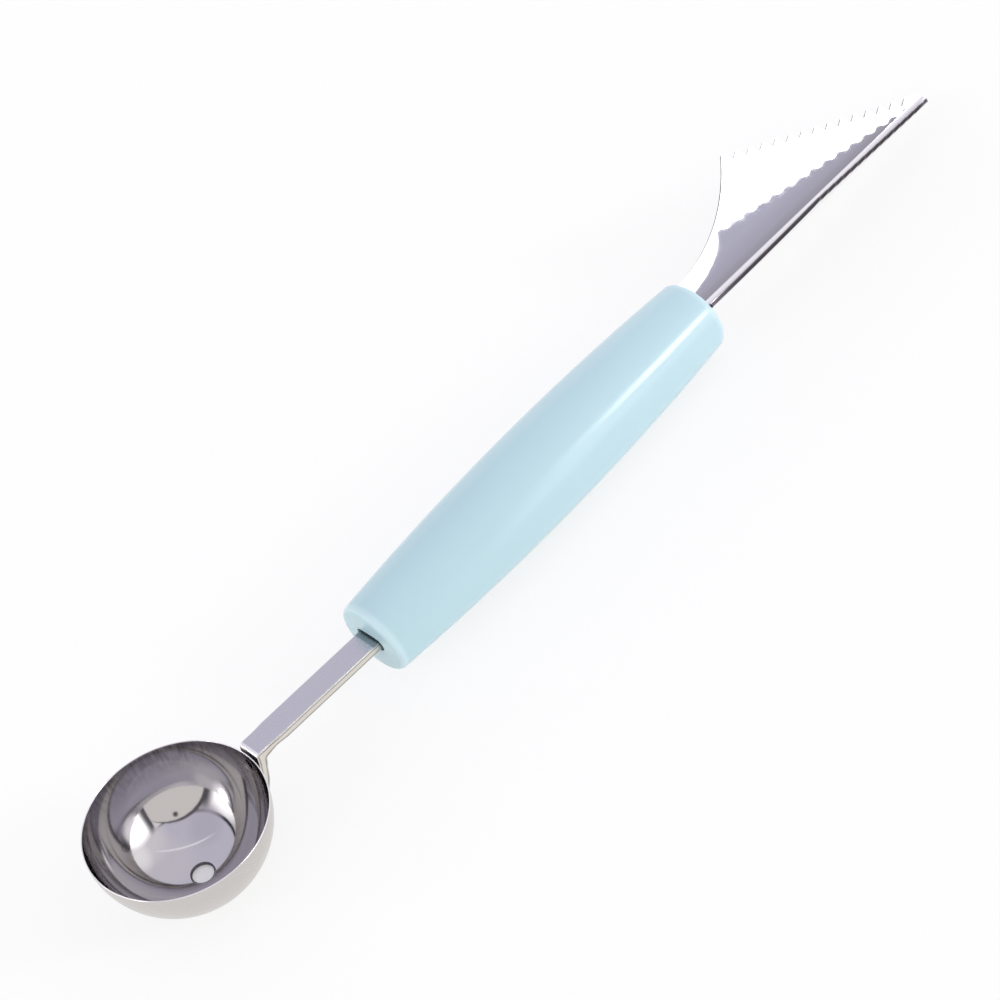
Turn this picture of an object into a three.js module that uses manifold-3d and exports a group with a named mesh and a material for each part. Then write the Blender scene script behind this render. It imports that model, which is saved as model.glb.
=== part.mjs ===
// Double-ended fruit carving tool: a melon-baller scoop and a folded V blade on one moulded handle.
// Millimetres, +Z up. The tool lies on a table at Z = 0, bowl and V open upwards, blade towards +X.

import * as THREE from 'three';
import { mergeVertices } from 'three/addons/utils/BufferGeometryUtils.js';
import Module from 'manifold-3d';

const wasm = await Module();
wasm.setup();

// Handle: a barrel with flat ends, moulded round both tangs
const handleLength = 86;
const handleBellyDiameter = 17.7;
const handleEndDiameter = 14.2;
const handleEdgeRadius = 1.2;

// Bowl of the scoop: a pressed hemisphere with a vent at its bottom
const bowlDiameter = 32;
const bowlWall = 0.7;
const ventDiameter = 3.8;

// Stem of the scoop: a flat bar, bent at its end into a foot that follows the bowl
const stemWidth = 5;
const stemThickness = 1.8;
const stemEdgeRadius = 0.3;
const stemReach = 27.2;
const stemBendRadius = 0.25;
const footLength = 9;
const stemTangLength = 26;
const stemPegDiameter = 2.6;
const scoopPitch = THREE.MathUtils.degToRad(3.5);
const scoopPitchDepth = 7.2;

// Blade: one sheet folded to a V, with a neck that narrows to shoulders at the handle
const bladeThickness = 0.8;
const bladeAngle = THREE.MathUtils.degToRad(74.4);
const bladeBendRadius = 0.9;
const bladeReach = 66.8;
const bladeHeelReach = 24.1;
const bladeHeelWidth = 18.8;
const bladeNeckWidth = 6.75;
const bladeNoseRadius = 2.5;
const bladeTangWidth = 5.2;
const bladeTangLength = 26;
const bladePegDiameter = 2.2;
const bladePegOffset = 3.1;
const bladeFoldDrop = 1.2;
const bladePitch = THREE.MathUtils.degToRad(2.26);

// Teeth: round-bottomed gullets stamped into both free edges, which are thinned from the outside
const toothPitch = 3;
const toothLand = 0.4;
const heelLand = 0.75;
const gulletDepth = 1.3;
const gulletRadius = 0.6;
const edgeThickness = 0.45;
const edgeBevelWidth = 2.4;

// Clearance left round whatever is moulded in or welded on
const fitGap = 0.3;

// Facets of whole rounds, of long and short arcs and of pegs, and how close two corners are one
const roundSegments = 48;
const arcSegments = 12;
const smallArcSegments = 6;
const pegSegments = 24;
const cornerTolerance = 1e-5;

const halfLength = handleLength / 2;
const bellyRadius = handleBellyDiameter / 2;
const endRadius = handleEndDiameter / 2;
const bowlRadius = bowlDiameter / 2;
const foldHalf = bladeAngle / 2;

// Radius of the long arc that swells from the end diameter to the belly
const bellySwell = bellyRadius - endRadius;
const barrelRadius = (halfLength ** 2 + bellySwell ** 2) / (2 * bellySwell);

// Closed solid from a closed geometry, with shared vertices merged
function solidFrom(geometry) {
  const bare = geometry.clone();
  bare.deleteAttribute('normal');
  bare.deleteAttribute('uv');
  const merged = mergeVertices(bare, cornerTolerance);
  const corners = merged.index.array;
  const kept = [];
  for (let i = 0; i < corners.length; i += 3) {
    const [a, b, c] = [corners[i], corners[i + 1], corners[i + 2]];
    if (a !== b && b !== c && c !== a) kept.push(a, b, c);
  }
  const vertProperties = Float32Array.from(merged.attributes.position.array);
  const triVerts = Uint32Array.from(kept);
  return new wasm.Manifold(new wasm.Mesh({ numProp: 3, vertProperties, triVerts }));
}

// Geometry of a finished solid
function geometryFrom(body) {
  const mesh = body.getMesh();
  const geometry = new THREE.BufferGeometry();
  geometry.setAttribute('position', new THREE.BufferAttribute(mesh.vertProperties, 3));
  geometry.setIndex(new THREE.BufferAttribute(mesh.triVerts, 1));
  geometry.computeVertexNormals();
  return geometry;
}

// Points along an arc, both ends included
function arcPoints(centreX, centreY, radius, startAngle, endAngle, steps) {
  const curve = new THREE.EllipseCurve(
    centreX, centreY, radius, radius, startAngle, endAngle, endAngle < startAngle);
  return curve.getPoints(steps);
}

// Round bar along a direction, centred on a point
function pegSolid(radius, length, centre, direction) {
  const geometry = new THREE.CylinderGeometry(radius, radius, length, pegSegments);
  const turn = new THREE.Quaternion().setFromUnitVectors(new THREE.Vector3(0, 1, 0), direction);
  geometry.applyQuaternion(turn);
  geometry.translate(centre.x, centre.y, centre.z);
  return solidFrom(geometry);
}

// Places of the scoop and of the blade on the handle's axis, each with its own pitch
const scoopPlace = new THREE.Object3D();
scoopPlace.position.set(-halfLength + scoopPitchDepth, 0, 0);
scoopPlace.rotation.y = scoopPitch;
scoopPlace.updateMatrix();

const bladePlace = new THREE.Object3D();
bladePlace.position.set(halfLength, 0, -bladeFoldDrop);
bladePlace.rotation.y = bladePitch;
bladePlace.updateMatrix();

// Where the bend of the stem and the bowl lie in the scoop's own frame, rim flush with the stem's top
const bendX = -scoopPitchDepth - stemReach;
const bendZ = -stemThickness / 2 - stemBendRadius;
const rimRadius = bowlWall / 2;
const bowlZ = stemThickness / 2 - rimRadius;
const footInnerRadius = bowlRadius + fitGap;
const footOuterRadius = footInnerRadius + stemThickness;
const bendToBowl = footOuterRadius + stemBendRadius;
const footStart = Math.asin((bowlZ - bendZ) / bendToBowl);
const footEnd = footStart + footLength / footInnerRadius;
const bowlX = bendX - bendToBowl * Math.cos(footStart);

// Hole in the stem's tang, or with a gap the plastic that locks through it
function stemPeg(gap) {
  const centre = new THREE.Vector3(stemTangLength / 2 - scoopPitchDepth, 0, 0);
  const up = new THREE.Vector3(0, 0, 1);
  return pegSolid(stemPegDiameter / 2 - gap, handleEndDiameter, centre, up);
}

// Room for the stem's tang in the handle, open at the end face
function stemTangCavity() {
  const inside = stemTangLength - scoopPitchDepth + fitGap;
  const outside = scoopPitchDepth + handleEdgeRadius;
  const block = new THREE.BoxGeometry(
    inside + outside, stemWidth + 2 * fitGap, stemThickness + 2 * fitGap);
  block.translate((inside - outside) / 2, 0, 0);
  return solidFrom(block).subtract(stemPeg(fitGap));
}

// Cross-section of the folded sheet, grown all round by a gap
function foldSection(wingWidth, gap) {
  const centreZ = bladeBendRadius / Math.sin(foldHalf);
  const inner = bladeBendRadius - gap;
  const outer = bladeBendRadius + bladeThickness + gap;
  const run = wingWidth + gap - centreZ * Math.cos(foldHalf);
  const along = new THREE.Vector2(Math.sin(foldHalf), Math.cos(foldHalf));
  const across = new THREE.Vector2(Math.cos(foldHalf), -Math.sin(foldHalf));
  const edge = (side, radius) => [
    side * (across.x * radius + along.x * run),
    centreZ + across.y * radius + along.y * run,
  ];
  const shape = new THREE.Shape();
  shape.absarc(0, centreZ, inner, -foldHalf, foldHalf - Math.PI, true);
  shape.lineTo(...edge(-1, inner));
  shape.lineTo(...edge(-1, outer));
  shape.absarc(0, centreZ, outer, foldHalf - Math.PI, -foldHalf, false);
  shape.lineTo(...edge(1, outer));
  shape.lineTo(...edge(1, inner));
  shape.closePath();
  return shape;
}

// Folded sheet between two places along the fold
function foldedSheet(wingWidth, gap, from, to) {
  const geometry = new THREE.ExtrudeGeometry(foldSection(wingWidth, gap), {
    depth: to - from,
    bevelEnabled: false,
    curveSegments: smallArcSegments,
  });
  const foldBasis = new THREE.Matrix4().makeBasis(
    new THREE.Vector3(0, 1, 0), new THREE.Vector3(0, 0, 1), new THREE.Vector3(1, 0, 0));
  geometry.applyMatrix4(foldBasis);
  geometry.translate(from, 0, 0);
  return solidFrom(geometry);
}

// Holes across the blade's tang, or with a gap the plastic that locks through both wings
function bladePeg(gap) {
  const centre = new THREE.Vector3(-bladeTangLength / 2, 0, bladePegOffset * Math.cos(foldHalf));
  const cross = new THREE.Vector3(0, 1, 0);
  return pegSolid(bladePegDiameter / 2 - gap, handleEndDiameter, centre, cross);
}

// Room for the blade's tang in the handle, open at the end face
function bladeTangCavity() {
  const sheet = foldedSheet(bladeTangWidth, fitGap, -bladeTangLength - fitGap, handleEdgeRadius);
  return sheet.subtract(bladePeg(fitGap));
}

// Handle: the barrel turned about its axis, less the room for the two tangs
function handleGeometry() {
  const axisOffset = bellyRadius - barrelRadius;
  const edgeX = halfLength - handleEdgeRadius;
  const edgeY = axisOffset + Math.sqrt((barrelRadius - handleEdgeRadius) ** 2 - edgeX ** 2);
  const edgeAngle = Math.atan2(edgeY - axisOffset, edgeX);
  const profile = [
    new THREE.Vector2(-halfLength, 0),
    ...arcPoints(-edgeX, edgeY, handleEdgeRadius, Math.PI, Math.PI - edgeAngle, smallArcSegments),
    ...arcPoints(0, axisOffset, barrelRadius, Math.PI - edgeAngle, edgeAngle, 2 * arcSegments)
      .slice(1, -1),
    ...arcPoints(edgeX, edgeY, handleEdgeRadius, edgeAngle, 0, smallArcSegments),
    new THREE.Vector2(halfLength, 0),
  ].map((point) => new THREE.Vector2(point.y, point.x));
  const barrel = new THREE.LatheGeometry(profile, roundSegments);
  barrel.rotateZ(-Math.PI / 2);
  const stemRoom = stemTangCavity().transform(scoopPlace.matrix.elements);
  const bladeRoom = bladeTangCavity().transform(bladePlace.matrix.elements);
  return geometryFrom(solidFrom(barrel).subtract(stemRoom).subtract(bladeRoom));
}

// Bowl: outer arc from the vent up to a half-round rim, and the inner arc back down
function bowlGeometry() {
  const innerRadius = bowlRadius - bowlWall;
  const ventRadius = ventDiameter / 2;
  const outerVent = -Math.acos(ventRadius / bowlRadius);
  const innerVent = -Math.acos(ventRadius / innerRadius);
  const profile = [
    ...arcPoints(0, 0, bowlRadius, outerVent, 0, arcSegments),
    ...arcPoints(innerRadius + rimRadius, 0, rimRadius, 0, Math.PI, smallArcSegments).slice(1, -1),
    ...arcPoints(0, 0, innerRadius, 0, innerVent, arcSegments),
  ];
  profile.push(profile[0].clone());
  const cup = new THREE.LatheGeometry(profile, roundSegments);
  cup.rotateX(Math.PI / 2);
  cup.translate(bowlX, 0, bowlZ);
  return geometryFrom(solidFrom(cup));
}

// Stem: the side view of the bar drawn once, from the tang over the bend to the foot
function stemGeometry() {
  const halfThickness = stemThickness / 2;
  const tangX = stemTangLength - scoopPitchDepth;
  const bendOuterRadius = stemBendRadius + stemThickness;
  const side = new THREE.Shape();
  side.absarc(bendX, bendZ, bendOuterRadius, Math.PI / 2, Math.PI - footStart, false);
  side.absarc(bowlX, bowlZ, footInnerRadius, -footStart, -footEnd, true);
  side.absarc(bowlX, bowlZ, footOuterRadius, -footEnd, -footStart, false);
  side.absarc(bendX, bendZ, stemBendRadius, Math.PI - footStart, Math.PI / 2, true);
  side.lineTo(tangX, -halfThickness);
  side.lineTo(tangX, halfThickness);
  side.closePath();
  const bar = new THREE.ExtrudeGeometry(side, {
    depth: stemWidth - 2 * stemEdgeRadius,
    bevelEnabled: true,
    bevelThickness: stemEdgeRadius,
    bevelSize: stemEdgeRadius,
    bevelOffset: -stemEdgeRadius,
    bevelSegments: 2,
    curveSegments: smallArcSegments,
  });
  bar.translate(0, 0, stemEdgeRadius - stemWidth / 2);
  bar.rotateX(Math.PI / 2);
  return geometryFrom(solidFrom(bar).subtract(stemPeg(0)));
}

// Axes of the wing on the +Y side: along the fold, out across the wing, and square to it inwards
const alongFold = new THREE.Vector3(1, 0, 0);
const acrossWing = new THREE.Vector3(0, Math.sin(foldHalf), Math.cos(foldHalf));
const inward = new THREE.Vector3().crossVectors(alongFold, acrossWing);

// Line of the tooth tips, from the heel to the top of the nose, and its axes in the wing's plane
const noseX = bladeReach - bladeNoseRadius;
const toothLine = new THREE.Vector2(noseX - bladeHeelReach, bladeNoseRadius - bladeHeelWidth);
const toothAngle = -toothLine.angle();
const alongEdge = new THREE.Vector3()
  .addScaledVector(alongFold, Math.cos(toothAngle))
  .addScaledVector(acrossWing, -Math.sin(toothAngle));
const offEdge = new THREE.Vector3().crossVectors(inward, alongEdge);
const heel = new THREE.Vector3()
  .addScaledVector(alongFold, bladeHeelReach)
  .addScaledVector(acrossWing, bladeHeelWidth);

// How far a cut reaches through the sheet: past the outer face, and past the bend on the inner side
const cutOutside = 2 * bladeThickness;
const cutInside = bladeBendRadius / 2;

// Extrusion through the sheet of a shape drawn on the wing, from an origin and two axes on it
function wingCut(shape, segments, origin, axisX, axisY) {
  const geometry = new THREE.ExtrudeGeometry(shape, {
    depth: cutOutside + cutInside,
    bevelEnabled: false,
    curveSegments: segments,
  });
  geometry.translate(0, 0, -cutOutside);
  geometry.applyMatrix4(new THREE.Matrix4().makeBasis(axisX, axisY, inward).setPosition(origin));
  return solidFrom(geometry);
}

// What lies beyond a wing's free edge: tang, shoulder, neck arc, tooth line and round nose
function wingWaste() {
  const beyond = bladeHeelWidth + bladeThickness;
  const tangEnd = -bladeTangLength - bladeThickness;
  const tip = bladeReach + bladeThickness;
  const neckRun = bladeHeelReach - fitGap;
  const neckRise = bladeHeelWidth - bladeNeckWidth;
  const neckRadius = (neckRun ** 2 + neckRise ** 2) / (2 * neckRise);
  const neckTurn = Math.asin(neckRun / neckRadius);
  const waste = new THREE.Shape();
  waste.moveTo(tangEnd, bladeTangWidth);
  waste.lineTo(fitGap, bladeTangWidth);
  waste.absarc(
    fitGap, bladeNeckWidth + neckRadius, neckRadius, -Math.PI / 2, neckTurn - Math.PI / 2, false);
  waste.lineTo(noseX, bladeNoseRadius);
  waste.absarc(noseX, 0, bladeNoseRadius, Math.PI / 2, 0, true);
  waste.lineTo(tip, 0);
  waste.lineTo(tip, beyond);
  waste.lineTo(tangEnd, beyond);
  waste.closePath();
  return wingCut(waste, arcSegments, new THREE.Vector3(), alongFold, acrossWing);
}

// One gullet: two straight flanks from tooth to tooth, tangent to a round bottom
function gulletShape() {
  const halfMouth = (toothPitch - toothLand) / 2;
  const centreY = gulletRadius - gulletDepth;
  const centreSlope = Math.atan2(-centreY, halfMouth);
  const lean = centreSlope + Math.asin(gulletRadius / Math.hypot(halfMouth, centreY));
  const flare = gulletDepth / Math.tan(lean);
  const gullet = new THREE.Shape();
  gullet.absarc(0, centreY, gulletRadius, -Math.PI / 2 - lean, lean - Math.PI / 2, false);
  gullet.lineTo(halfMouth + flare, gulletDepth);
  gullet.lineTo(-halfMouth - flare, gulletDepth);
  gullet.closePath();
  return gullet;
}

// Wedge that thins the toothed edge from the outer face
function edgeBevel() {
  const slope = (bladeThickness - edgeThickness) / edgeBevelWidth;
  const margin = bladeThickness;
  const wedge = new THREE.Shape();
  wedge.moveTo(-edgeBevelWidth, 0);
  wedge.lineTo(margin, slope * (edgeBevelWidth + margin));
  wedge.lineTo(margin, -margin);
  wedge.lineTo(-edgeBevelWidth, -margin);
  wedge.closePath();
  const geometry = new THREE.ExtrudeGeometry(wedge, {
    depth: toothLine.length() + edgeBevelWidth,
    bevelEnabled: false,
  });
  const outerHeel = heel.clone()
    .addScaledVector(inward, -bladeThickness)
    .addScaledVector(alongEdge, -edgeBevelWidth);
  geometry.applyMatrix4(new THREE.Matrix4().makeBasis(offEdge, inward, alongEdge).setPosition(outerHeel));
  return solidFrom(geometry);
}

// Everything cut from the wing on the +Y side
function wingCuts() {
  let cuts = wingWaste().add(edgeBevel());
  const firstGullet = heelLand + (toothPitch - toothLand) / 2;
  const toothCount = Math.floor((toothLine.length() - heelLand) / toothPitch);
  for (let tooth = 0; tooth < toothCount; tooth += 1) {
    const origin = heel.clone().addScaledVector(alongEdge, firstGullet + tooth * toothPitch);
    cuts = cuts.add(wingCut(gulletShape(), smallArcSegments, origin, alongEdge, offEdge));
  }
  return cuts;
}

// Blade: the folded sheet, both wings trimmed alike, and holed at the tang
function bladeGeometry() {
  const sheet = foldedSheet(bladeHeelWidth, 0, -bladeTangLength, bladeReach);
  const cuts = wingCuts();
  const trimmed = sheet.subtract(cuts).subtract(cuts.mirror([0, 1, 0]));
  return geometryFrom(trimmed.subtract(bladePeg(0)));
}

// Named mesh with its own finish
function piece(name, geometry, colour, roughness, metalness) {
  const material = new THREE.MeshStandardMaterial({ color: colour, roughness, metalness });
  const mesh = new THREE.Mesh(geometry, material);
  mesh.name = name;
  return mesh;
}

const handle = piece('handle', handleGeometry(), '#c3e2ec', 0.28, 0);
const scoopBowl = piece('scoop_bowl', bowlGeometry(), '#cfccc8', 0.16, 1);
const scoopStem = piece('scoop_stem', stemGeometry(), '#bdb9c8', 0.26, 1);
const carvingBlade = piece('carving_blade', bladeGeometry(), '#c6c5cd', 0.14, 1);

const scoop = new THREE.Group();
scoop.applyMatrix4(scoopPlace.matrix);
scoop.add(scoopBowl, scoopStem);

const blade = new THREE.Group();
blade.applyMatrix4(bladePlace.matrix);
blade.add(carvingBlade);

// The table touches the bowl's bottom and the handle's belly: the common tangent of their two arcs
const bowlCentre = new THREE.Vector3(bowlX, 0, bowlZ).applyMatrix4(scoopPlace.matrix);
const bellyCentreZ = barrelRadius - bellyRadius;
const centreDistance = Math.hypot(bowlCentre.x, bellyCentreZ - bowlCentre.z);
const centreAngle = Math.atan2(bellyCentreZ - bowlCentre.z, -bowlCentre.x);
const restPitch = centreAngle - Math.asin((barrelRadius - bowlRadius) / centreDistance);

const tool = new THREE.Group();
tool.add(handle, scoop, blade);
tool.rotation.y = restPitch;

// Origin under the middle of the tool, on the table
const extent = new THREE.Box3().setFromObject(tool, true);
const middle = extent.getCenter(new THREE.Vector3());
tool.position.set(-middle.x, -middle.y, -extent.min.z);

const part = new THREE.Group();
part.add(tool);

export default part;
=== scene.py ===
import math

import bmesh
import bpy
from mathutils import Matrix, Vector


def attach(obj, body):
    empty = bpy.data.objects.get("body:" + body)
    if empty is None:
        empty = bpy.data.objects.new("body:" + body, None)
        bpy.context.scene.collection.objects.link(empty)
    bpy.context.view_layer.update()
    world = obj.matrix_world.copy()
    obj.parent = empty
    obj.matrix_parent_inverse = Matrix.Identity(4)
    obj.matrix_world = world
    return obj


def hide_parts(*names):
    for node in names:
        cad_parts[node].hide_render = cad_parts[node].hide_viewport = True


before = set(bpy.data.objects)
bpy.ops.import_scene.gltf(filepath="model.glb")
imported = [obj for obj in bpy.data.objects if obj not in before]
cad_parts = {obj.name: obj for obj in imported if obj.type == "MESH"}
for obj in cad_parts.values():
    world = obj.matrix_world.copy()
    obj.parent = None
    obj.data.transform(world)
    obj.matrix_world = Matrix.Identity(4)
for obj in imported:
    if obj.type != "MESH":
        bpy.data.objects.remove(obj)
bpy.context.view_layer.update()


# Scoop bowl: a hemisphere pressed from thin stainless steel sheet, with a vent punched in its bottom.
# It thins towards the rim, which is ground bright so that it cuts. The inside is polished to a mirror and
# the outside keeps a satin finish. A spot weld to the stem's foot leaves a shallow dimple inside.
millimetre = 0.001
millimetres = Matrix.Scale(millimetre, 4)
in_millimetres = (millimetre, millimetre, millimetre)
tool_centre = (-2.70416, 0, 9.164062)
tool_tilt = math.radians(1.993462)
tool_at_rest = Matrix.Translation(tool_centre) @ Matrix.Rotation(tool_tilt, 4, "Y")
scoop_pivot = -35.8
scoop_pitch = math.radians(3.5)
scoop_place = tool_at_rest @ Matrix.Translation((scoop_pivot, 0, 0)) @ Matrix.Rotation(scoop_pitch, 4, "Y")

# Sizes are in millimetres. Bowl and stem are drawn in the scoop's own frame, which starts on the axis of the
# handle at scoop_pivot and leans by scoop_pitch.
bowl_radius = 16.0
bowl_wall = 0.7
bowl_rim_wall = 0.2
bowl_centre = Vector((-52.6712, 0, 0.55))
vent_radius = 1.9
vent_edge_radius = 0.28
weld_below_rim = math.radians(10)
weld_radius = 1.3
weld_depth = 0.16
bowl_outside_steps = 44
bowl_rim_steps = 8
bowl_inside_steps = 52
bowl_round_steps = 240
vent_edge_steps = 3
vent_edge_angle = math.radians(45)
merge_distance = 0.0005
sharp_angle = math.radians(30)


def pick(geometry, kind):
    """Picks the vertices, edges or faces out of what an operator gives."""
    return [item for item in geometry if isinstance(item, kind)]


def line_to(mesh, start, point):
    """Draws a straight edge from a vertex to a point and gives the new vertex."""
    drawn = bmesh.ops.extrude_vert_indiv(mesh, verts=[start])["verts"][0]
    drawn.co = point
    return drawn


def arc_about(mesh, start, centre, axis, angle, steps):
    """Sweeps a vertex round a centre and gives the vertex at the end of the arc."""
    swept = bmesh.ops.spin(mesh, geom=[start], cent=centre, axis=axis, angle=angle, steps=steps)
    return pick(swept["geom_last"], bmesh.types.BMVert)[0]


def add_piece(name, mesh, place, finishes, node):
    """Puts a mesh drawn in millimetres in its place as the piece that stands for a CAD node."""
    bmesh.ops.transform(mesh, matrix=millimetres @ place, verts=mesh.verts)
    skin = bpy.data.meshes.new(name)
    mesh.to_mesh(skin)
    mesh.free()
    for finish in finishes:
        skin.materials.append(finish)
    skin.shade_smooth()
    skin.set_sharp_from_angle(angle=sharp_angle)
    piece = bpy.data.objects.new(name, skin)
    bpy.context.scene.collection.objects.link(piece)
    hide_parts(node)
    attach(piece, "root")
    return piece


def linear(colour):
    """Turns an sRGB hex colour into the linear colour that a shader takes."""
    parts = [int(colour[at:at + 2], 16) / 255 for at in (1, 3, 5)]
    return [part / 12.92 if part <= 0.04045 else ((part + 0.055) / 1.055) ** 2.4 for part in parts] + [1]


def add_node(tree, kind, inputs, **settings):
    """Adds a node, and sets each input or links it to a socket or to a node's first output."""
    node = tree.nodes.new(kind)
    for name, value in settings.items():
        setattr(node, name, value)
    for name, value in inputs.items():
        if isinstance(value, bpy.types.Node):
            value = value.outputs[0]
        if isinstance(value, bpy.types.NodeSocket):
            tree.links.new(value, node.inputs[name])
        else:
            node.inputs[name].default_value = value
    return node


def start_finish(name):
    """Starts an empty material and gives it with its node tree and the place on the object."""
    finish = bpy.data.materials.new(name)
    finish.use_nodes = True
    finish.node_tree.nodes.clear()
    place = add_node(finish.node_tree, "ShaderNodeTexCoord", {})
    return finish, finish.node_tree, place.outputs["Object"]


bowl_mesh = bmesh.new()
bowl_lift = bowl_wall - bowl_rim_wall
bowl_inside = math.hypot(bowl_radius - bowl_rim_wall, bowl_lift)
to_rim = (0, -1, 0)
to_vent = (0, 1, 0)
vent_outside = bowl_mesh.verts.new((vent_radius, 0, -math.sqrt(bowl_radius ** 2 - vent_radius ** 2)))
rim_outside = arc_about(
    bowl_mesh, vent_outside, (0, 0, 0), to_rim, math.acos(vent_radius / bowl_radius), bowl_outside_steps)
rim_inside = arc_about(
    bowl_mesh, rim_outside, (bowl_radius - bowl_rim_wall / 2, 0, 0), to_rim, math.pi, bowl_rim_steps)
vent_inside = arc_about(
    bowl_mesh, rim_inside, (0, 0, bowl_lift), to_vent,
    math.acos(vent_radius / bowl_inside) - math.asin(bowl_lift / bowl_inside), bowl_inside_steps)
bowl_mesh.edges.new((vent_inside, vent_outside))
bmesh.ops.spin(
    bowl_mesh, geom=bowl_mesh.verts[:] + bowl_mesh.edges[:], cent=(0, 0, 0), axis=(0, 0, 1),
    angle=math.tau, steps=bowl_round_steps, use_merge=True)
bmesh.ops.remove_doubles(bowl_mesh, verts=bowl_mesh.verts, dist=merge_distance)
bmesh.ops.recalc_face_normals(bowl_mesh, faces=bowl_mesh.faces)
vent_edges = [edge for edge in bowl_mesh.edges if edge.calc_face_angle(0) > vent_edge_angle]
bmesh.ops.bevel(
    bowl_mesh, geom=vent_edges, offset=vent_edge_radius, affect="EDGES", segments=vent_edge_steps,
    profile=0.5, material=-1)
weld_spot = Vector((math.cos(weld_below_rim), 0, -math.sin(weld_below_rim))) * bowl_inside
inside_limit = bowl_radius - bowl_rim_wall / 2
for corner in bowl_mesh.verts:
    reach = (corner.co - weld_spot).length / weld_radius
    if reach < 1 and corner.co.length < inside_limit:
        corner.co *= 1 + weld_depth / bowl_inside * (1 - reach ** 2) ** 2
inside, outside, at_rim, at_vent = range(4)
for face in bowl_mesh.faces:
    middle = face.calc_center_median()
    if middle.z > 0:
        face.material_index = at_rim
    elif middle.xy.length < vent_radius + vent_edge_radius:
        face.material_index = at_vent
    else:
        face.material_index = inside if middle.length < inside_limit else outside
bmesh.ops.translate(bowl_mesh, vec=bowl_centre, verts=bowl_mesh.verts)

bowl_axis_place = (millimetres @ scoop_place @ Matrix.Translation(bowl_centre)).translation
scoop_turn = scoop_place.to_3x3().to_euler()

# Stainless steel, mirror polished on a spinning bob: sharp reflections at the bottom, broken only by
# hair-fine rings and finger marks. The bob reaches the wall below the rim less well, so it is duller there.
# On one side that wall is also painted darker towards the rim as shade, broken into upright streaks.
bowl_mirror, tree, place = start_finish("stainless_steel_mirror_polished")
round_bowl = add_node(tree, "ShaderNodeMapping", {
    "Vector": place, "Location": bowl_axis_place, "Rotation": scoop_turn,
    "Scale": in_millimetres}, vector_type="TEXTURE")
height = add_node(tree, "ShaderNodeSeparateXYZ", {"Vector": round_bowl})
ring_width = 0.3
ring_depth = 0.001
rings = add_node(tree, "ShaderNodeTexNoise", {
    "W": height.outputs["Z"], "Scale": 1 / ring_width, "Detail": 2.0}, noise_dimensions="1D")
smudge_width = 5.0
smudges = add_node(tree, "ShaderNodeTexNoise", {
    "Vector": round_bowl, "Scale": 1 / smudge_width, "Detail": 3.0})
smudge_gloss = add_node(tree, "ShaderNodeMapRange", {
    "Value": smudges, "From Min": 0.35, "From Max": 0.7, "To Min": 0.05, "To Max": 0.09})
wall_gloss = add_node(tree, "ShaderNodeMapRange", {
    "Value": rings, "From Min": 0.3, "From Max": 0.7, "To Min": 0.07, "To Max": 0.16})
wall_bottom = -7.0
wall_top = -1.5
up_wall = add_node(tree, "ShaderNodeMapRange", {
    "Value": height.outputs["Z"], "From Min": wall_bottom, "From Max": wall_top})
gloss = add_node(tree, "ShaderNodeMix", {"Factor": up_wall, "A": smudge_gloss, "B": wall_gloss})
ring_bump = add_node(tree, "ShaderNodeBump", {
    "Height": rings, "Strength": 1.0, "Distance": ring_depth * millimetre})
drawn_width = 0.6
drawn_stretch = 30
along_wall = add_node(tree, "ShaderNodeMapping", {
    "Vector": place, "Scale": (millimetre, millimetre, drawn_stretch * millimetre)}, vector_type="TEXTURE")
drawn_lines = add_node(tree, "ShaderNodeTexNoise", {
    "Vector": along_wall, "Scale": 1 / drawn_width, "Detail": 2.0})
shade_streaks = add_node(tree, "ShaderNodeMapRange", {
    "Value": drawn_lines, "From Min": 0.35, "From Max": 0.65, "To Min": 0.55, "To Max": 1.0})
# Painted shade: on one side the wall turns darker towards the rim, in upright streaks.
far_shade_direction = (0.5, 0.87, 0)
far_shade_start = 3.0
far_shade_full = 14.0
far_shade_bottom = -6.0
far_shade_top = -0.8
across_bowl = add_node(tree, "ShaderNodeVectorMath", {
    0: round_bowl, 1: far_shade_direction}, operation="DOT_PRODUCT")
far_shade_side = add_node(tree, "ShaderNodeMapRange", {
    "Value": across_bowl.outputs["Value"], "From Min": far_shade_start, "From Max": far_shade_full, "To Min": 0.12})
far_shade_height = add_node(tree, "ShaderNodeMapRange", {
    "Value": height.outputs["Z"], "From Min": far_shade_bottom, "From Max": far_shade_top, "To Max": 0.92})
painted_far_shade = add_node(tree, "ShaderNodeMath", {0: far_shade_side, 1: far_shade_height}, operation="MULTIPLY")
streaked_far_shade = add_node(tree, "ShaderNodeMath", {0: painted_far_shade, 1: shade_streaks}, operation="MULTIPLY")
wall_tone = add_node(tree, "ShaderNodeMixRGB", {
    "Fac": streaked_far_shade, "Color1": linear("#c9c6c9"), "Color2": linear("#6b6566")})
steel = add_node(tree, "ShaderNodeBsdfPrincipled", {
    "Base Color": wall_tone, "Metallic": 1.0, "Roughness": gloss, "Normal": ring_bump})
add_node(tree, "ShaderNodeOutputMaterial", {"Surface": steel})

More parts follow.
